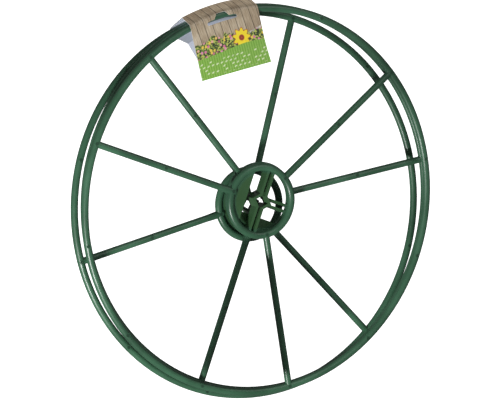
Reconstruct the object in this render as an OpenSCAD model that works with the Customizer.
// Pack of round plant support wheels, stacked like a fan and held together by a folded header card.
// Millimetres at real size. Z is the back wheel's axis with the front up, the origin is its hub centre,
// and the card sits at +Y. A wheel is drawn with its main spoke along its own +X. Each wheel rests with
// its jaws on the hub ring behind it and with the foot of its rim on the rim behind it.

/* [Wheel] */
// Outside diameter of a wheel
wheel_d = 480; // [400:10:560]
// Thickness of the round rim bar
rim_bar = 9; // [7:0.5:10]
// How much thinner a spoke is than the rim bar
spoke_step = 0.6; // [0.6:0.1:1.6]
// Outside diameter of the hub ring
hub_d = 93; // [84:1:104]
// Thickness of the round hub bar
hub_bar = 9.2; // [8.4:0.2:10.8]
// How much thicker the main spoke's end is than the hub bar it crosses
end_step = 0.2; // [0.2:0.1:1]
// How far the main spoke's round tip stands inside the hub ring
tip_reach = 2; // [1:0.5:4]
// Length of the taper from the main spoke's end to its bar
end_taper = 14; // [8:1:30]
// Diameter of the flat marks left by the ejector pins
pin_mark_d = 5.4; // [4:0.2:5.6]

/* [Stake grip] */
// Side of the square stake the hub holds
stake_side = 12.6; // [9:0.2:14]
// Width of the slit on both sides of the stake hole
slit = 4; // [2:0.5:6]
// Thickness of a grip jaw
jaw_t = 3.4; // [2.4:0.2:4]
// Height of the jaws in front of the wheel's middle plane
jaw_front = 3; // [2:0.5:4]
// Height of the jaws behind the wheel's middle plane
jaw_back = 10; // [9:0.5:12]
// Free space between a jaw's knee and the straight edge of the web
web_gap = 7.5; // [5:0.5:9]
// Thickness of the web that closes one side of the hub
web_t = 3; // [2:0.2:4]

/* [Stack] */
// Clear gap between a wheel and the wheel behind it
rest_gap = 0.3; // [0.3:0.1:1]
// Direction in which the wheels open like a fan, in degrees from the card toward +X
fan_way = 15.6; // [0:0.2:30]
// Direction of the back wheel's main spoke in degrees
back_turn = 181.5; // [106:0.5:193]
// Direction of the middle wheel's main spoke in degrees
middle_turn = 237; // [226:1:313]
// Direction of the front wheel's main spoke in degrees
front_turn = 147.5; // [108:0.5:193]
// Sideways slip of the middle wheel
middle_slip_x = 7; // [0:0.5:8]
// Slip of the middle wheel toward the card
middle_slip_y = 4.6; // [3:0.2:5]
// Sideways slip of the front wheel
front_slip_x = 0.5; // [-3:0.5:3]
// Slip of the front wheel toward the card
front_slip_y = 5.2; // [4:0.2:7]

/* [Header card] */
// Width of the card
card_w = 94; // [70:1:100]
// Sideways place of the card's middle
card_x = -4.1; // [-5:0.1:3]
// Thickness of the card
card_t = 0.5; // [0.3:0.1:0.6]
// Clear gap between the card and the rims inside it
card_gap = 0.9; // [0.8:0.1:1.5]
// Depth of the card's lower edge below the rim's centreline
card_drop = 65.5; // [55:0.5:85]
// Depth below the rim's centreline where the card's halves meet
close_drop = 32.5; // [28:0.5:40]
// Depth below the rim's centreline where the back half bends forward
knee_drop = 13.5; // [11:0.5:16]
// Distance of that bend behind the front half
knee_gap = 16; // [12:0.5:20]
// Height of the fold's ridge above the front rim's centreline
ridge_rise = 12.3; // [10:0.1:15]
// Distance of the ridge behind the front rim
ridge_back = 11.4; // [8:0.1:14]
// Width of the hang slot
slot_w = 41; // [34:1:44]
// Height of the hang slot's ends
slot_h = 5; // [4:0.5:6]
// Height of the hump in the middle of the hang slot
slot_hump = 6; // [4:0.5:6.5]
// Sideways place of the hang slot from the card's middle
slot_shift = -3.5; // [-5:0.5:5]

/* [Hidden] */
$fn = 96;

plastic_green = [0.11, 0.30, 0.19];
card_print = [0.47, 0.68, 0.24];

spoke_d = rim_bar - spoke_step;
rim_r = (wheel_d - rim_bar) / 2;
hub_r = (hub_d - hub_bar) / 2;
end_bar = hub_bar + end_step;
tip_at = hub_r - hub_bar / 2 - tip_reach + end_bar / 2;
pin_mark_drop = 0.25;
rim_marks = [0:30:330];
plain_spokes = [120, 240];

// Plan of the grip: half diagonal of the stake hole, and where the jaws bend and end
hole_reach = stake_side / sqrt(2);
jaw_knee = hole_reach + jaw_t * sqrt(2);
jaw_reach = hub_r - 0.34 * hub_bar;
web_edge = jaw_knee + web_gap;

// Lean of a wheel on the one behind it, and the distance between their hub centres
fan = asin((end_bar / 2 + jaw_back - rim_bar) / (rim_r - jaw_reach));
fan_axis = [cos(fan_way), -sin(fan_way), 0];
pitch = end_bar / 2 + jaw_back + rest_gap + jaw_reach * sin(fan);

// Section of the card: distance from the back wheel's axis, then height along the axis
front_rim_at = [rim_r + front_slip_y, 2 * pitch + rim_r * cos(fan_way) * sin(2 * fan)];
back_rim_at = [rim_r, 0];
wrap_r = rim_bar / 2 + card_gap;
card_front_z = front_rim_at[1] + wrap_r;
card_low_y = rim_r - card_drop;
ridge_at = front_rim_at + [ridge_rise, -ridge_back];
knee_at = [rim_r - knee_drop, card_front_z - knee_gap];
close_at = [rim_r - close_drop, card_front_z];

// Outward directions of the flat stretches: two roof slopes, then the back half above and below its knee
front_slope = touch(ridge_at - front_rim_at, 1);
back_slope = touch(ridge_at - back_rim_at, -1);
upper_slant = touch(knee_at - back_rim_at, 1) - 360;
lower_slant = direction(close_at - knee_at) + 90;

// Heights of the hang slots: on the front half, and along the back half from its knee
slot_y = rim_r;
back_slot_run = close_drop - norm(close_at - knee_at);

function direction(v) = atan2(v[1], v[0]);
function ray(a) = [cos(a), sin(a)];
function reversed(list) = [for (i = [len(list) - 1:-1:0]) list[i]];
function arc(centre, r, from, to, steps) =
    [for (i = [0:steps]) centre + r * ray(from + (to - from) * i / steps)];

// Direction from a wrapped rim's centre to where a line from the point v away touches the wrapping
function touch(v, side) = direction(v) + side * acos(wrap_r / norm(v));

// Corner between two flat stretches, moved outward by the same distance from both
function corner(at, out, a, b) = at + out * (ray(a) + ray(b)) / (1 + ray(a) * ray(b));

// Line of the card over the rims, from the front shoulder over the ridge to straight behind the back rim
function fold_line(out) = concat(
    arc(front_rim_at, wrap_r + out, 90, front_slope, 8),
    [corner(ridge_at, out, front_slope, back_slope)],
    arc(back_rim_at, wrap_r + out, back_slope, -90, 8));

// Line of the back half, from behind the back rim over its knee to the joined lower edge
function back_line(out) = concat(
    arc(back_rim_at, wrap_r + out, -90, upper_slant, 8),
    [corner(knee_at, out, upper_slant, lower_slant), corner(close_at, out, lower_slant, -90)],
    [[card_low_y - 1, card_front_z - out]]);

// Plain round bar bent into a ring
module bar_ring(r, bar) {
    rotate_extrude() translate([r, 0]) circle(d = bar);
}

// Flat-topped stub left where an ejector pin pushed on a round bar
module pin_stub(bar) {
    cylinder(d = pin_mark_d, h = bar / 2 - pin_mark_drop);
}

// Room above an ejector pin's stub
module pin_room(bar) {
    translate([0, 0, bar / 2 - pin_mark_drop]) cylinder(d = pin_mark_d, h = 2 * pin_mark_drop);
}

// Ring with ejector marks at the given angles
module marked_ring(r, bar, marks) {
    difference() {
        union() {
            bar_ring(r, bar);
            for (a = marks) rotate(a) translate([r, 0, 0]) pin_stub(bar);
        }
        for (a = marks) rotate(a) translate([r, 0, 0]) pin_room(bar);
    }
}

module rim() {
    marked_ring(rim_r, rim_bar, rim_marks);
}

// Hub ring, open where the main spoke's end crosses it
module hub_ring() {
    difference() {
        marked_ring(hub_r, hub_bar, plain_spokes);
        spoke_end();
    }
}

// Round bar along +X from one distance to another, tapering if its ends differ
module bar_along(from, to, d1, d2) {
    translate([from, 0, 0]) rotate([0, 90, 0]) cylinder(d1 = d1, d2 = d2, h = to - from);
}

// End of the main spoke: a taper, a thicker stretch across the hub ring and a round tip inside it
module spoke_end() {
    collar = hub_r + hub_bar / 2;
    union() {
        translate([tip_at, 0, 0]) sphere(d = end_bar);
        bar_along(tip_at, collar, end_bar, end_bar);
        bar_along(collar, collar + end_taper, end_bar, spoke_d);
    }
}

// Bar of a spoke with one ejector mark at its middle, run into the rim at its far end
module spoke_bar(from) {
    middle = (hub_r + rim_r) / 2;
    difference() {
        union() {
            bar_along(from, rim_r, spoke_d, spoke_d);
            translate([middle, 0, 0]) pin_stub(spoke_d);
        }
        translate([middle, 0, 0]) pin_room(spoke_d);
        bar_ring(rim_r, rim_bar);
        translate([rim_r, 0, 0]) pin_stub(rim_bar);
    }
}

// Main spoke, which crosses the hub ring and has an ejector mark there
module main_spoke() {
    difference() {
        union() {
            spoke_bar(hub_r + hub_bar / 2 + end_taper / 2);
            spoke_end();
            translate([hub_r, 0, 0]) pin_stub(end_bar);
        }
        translate([hub_r, 0, 0]) pin_room(end_bar);
    }
}

// Plain spoke from the hub ring to the rim, shaped to both bars
module plain_spoke() {
    difference() {
        spoke_bar(hub_r);
        bar_ring(hub_r, hub_bar);
        translate([hub_r, 0, 0]) pin_stub(hub_bar);
    }
}

// Flat web that closes the hub on the main spoke's side
module hub_web() {
    difference() {
        translate([0, 0, -web_t / 2]) cylinder(r = hub_r, h = web_t);
        translate([web_edge - 2 * hub_d, -hub_d, -web_t]) cube([2 * hub_d, 2 * hub_d, 2 * web_t]);
        bar_ring(hub_r, hub_bar);
        spoke_end();
    }
}

// One springy jaw: two straight arms and a knee that holds half of the square stake
module jaw(side) {
    inner = slit / 2;
    outer = inner + jaw_t;
    inner_bend = hole_reach - inner;
    outer_bend = inner_bend + jaw_t * tan(22.5);
    difference() {
        intersection() {
            translate([0, 0, -jaw_back]) linear_extrude(jaw_front + jaw_back) polygon([
                [side * inner, hub_r], [side * inner, inner_bend], [side * hole_reach, 0],
                [side * inner, -inner_bend], [side * inner, -hub_r], [side * outer, -hub_r],
                [side * outer, -outer_bend], [side * jaw_knee, 0], [side * outer, outer_bend],
                [side * outer, hub_r]
            ]);
            cylinder(r = jaw_reach, h = 4 * jaw_back, center = true);
        }
        bar_ring(hub_r, hub_bar);
    }
}

module at_back() {
    color(plastic_green) rotate(back_turn) children();
}

module at_middle() {
    color(plastic_green) translate([middle_slip_x, middle_slip_y, pitch])
        rotate(fan, fan_axis) rotate(middle_turn) children();
}

module at_front() {
    color(plastic_green) translate([front_slip_x, front_slip_y, 2 * pitch])
        rotate(2 * fan, fan_axis) rotate(front_turn) children();
}

module back_rim() { at_back() rim(); }
module back_hub_ring() { at_back() hub_ring(); }
module back_hub_web() { at_back() hub_web(); }
module back_jaw_near() { at_back() jaw(1); }
module back_jaw_far() { at_back() jaw(-1); }
module back_spoke_main() { at_back() main_spoke(); }
module back_spoke_left() { at_back() rotate(120) plain_spoke(); }
module back_spoke_right() { at_back() rotate(240) plain_spoke(); }

module middle_rim() { at_middle() rim(); }
module middle_hub_ring() { at_middle() hub_ring(); }
module middle_hub_web() { at_middle() hub_web(); }
module middle_jaw_near() { at_middle() jaw(1); }
module middle_jaw_far() { at_middle() jaw(-1); }
module middle_spoke_main() { at_middle() main_spoke(); }
module middle_spoke_left() { at_middle() rotate(120) plain_spoke(); }
module middle_spoke_right() { at_middle() rotate(240) plain_spoke(); }

module front_rim() { at_front() rim(); }
module front_hub_ring() { at_front() hub_ring(); }
module front_hub_web() { at_front() hub_web(); }
module front_jaw_near() { at_front() jaw(1); }
module front_jaw_far() { at_front() jaw(-1); }
module front_spoke_main() { at_front() main_spoke(); }
module front_spoke_left() { at_front() rotate(120) plain_spoke(); }
module front_spoke_right() { at_front() rotate(240) plain_spoke(); }

// Block with the card's width and straight lower edge
module card_block() {
    translate([card_x - card_w / 2, card_low_y, -2 * pitch]) cube([card_w, 2 * card_drop, 8 * pitch]);
}

// Bent part of the card, swept round the rims it hugs and trimmed to the card's width
module card_sheet(line, back) {
    half_sweep = asin((card_w / 2 + abs(card_x) + 2) / card_low_y);
    intersection() {
        rotate(90 - half_sweep) rotate_extrude(angle = 2 * half_sweep) polygon(concat(line, reversed(back)));
        card_block();
    }
}

// Outline of a hang slot with a hump in the middle
module slot_outline() {
    union() {
        square([slot_w - slot_h, slot_h], center = true);
        for (side = [-1, 1]) translate([side * (slot_w - slot_h) / 2, 0]) circle(d = slot_h);
        polygon([
            [-slot_w * 0.3, 0], [-slot_w * 0.14, slot_h / 2 + slot_hump],
            [slot_w * 0.14, slot_h / 2 + slot_hump], [slot_w * 0.3, 0]
        ]);
    }
}

// Room of a hang slot on both sides of a sheet at the given place and slope
module hang_slot(y, z, slope) {
    depth = 8;
    translate([card_x + slot_shift, y, z]) rotate([slope, 0, 0]) translate([0, 0, -depth / 2])
        linear_extrude(depth) slot_outline();
}

module card_front_half() {
    color(card_print) difference() {
        intersection() {
            translate([0, 0, card_front_z]) cylinder(r = front_rim_at[0], h = card_t);
            card_block();
        }
        hang_slot(slot_y, card_front_z, 0);
    }
}

module card_fold() {
    color(card_print) difference() {
        card_sheet(fold_line(0), fold_line(card_t));
        hang_slot(slot_y, card_front_z, 0);
    }
}

module card_back_half() {
    slot_at = knee_at + back_slot_run * ray(upper_slant + 90);
    color(card_print) difference() {
        card_sheet(back_line(0), back_line(card_t));
        hang_slot(slot_at[0], slot_at[1], upper_slant + 90);
    }
}

back_rim();
back_hub_ring();
back_hub_web();
back_jaw_near();
back_jaw_far();
back_spoke_main();
back_spoke_left();
back_spoke_right();
middle_rim();
middle_hub_ring();
middle_hub_web();
middle_jaw_near();
middle_jaw_far();
middle_spoke_main();
middle_spoke_left();
middle_spoke_right();
front_rim();
front_hub_ring();
front_hub_web();
front_jaw_near();
front_jaw_far();
front_spoke_main();
front_spoke_left();
front_spoke_right();
card_front_half();
card_fold();
card_back_half();
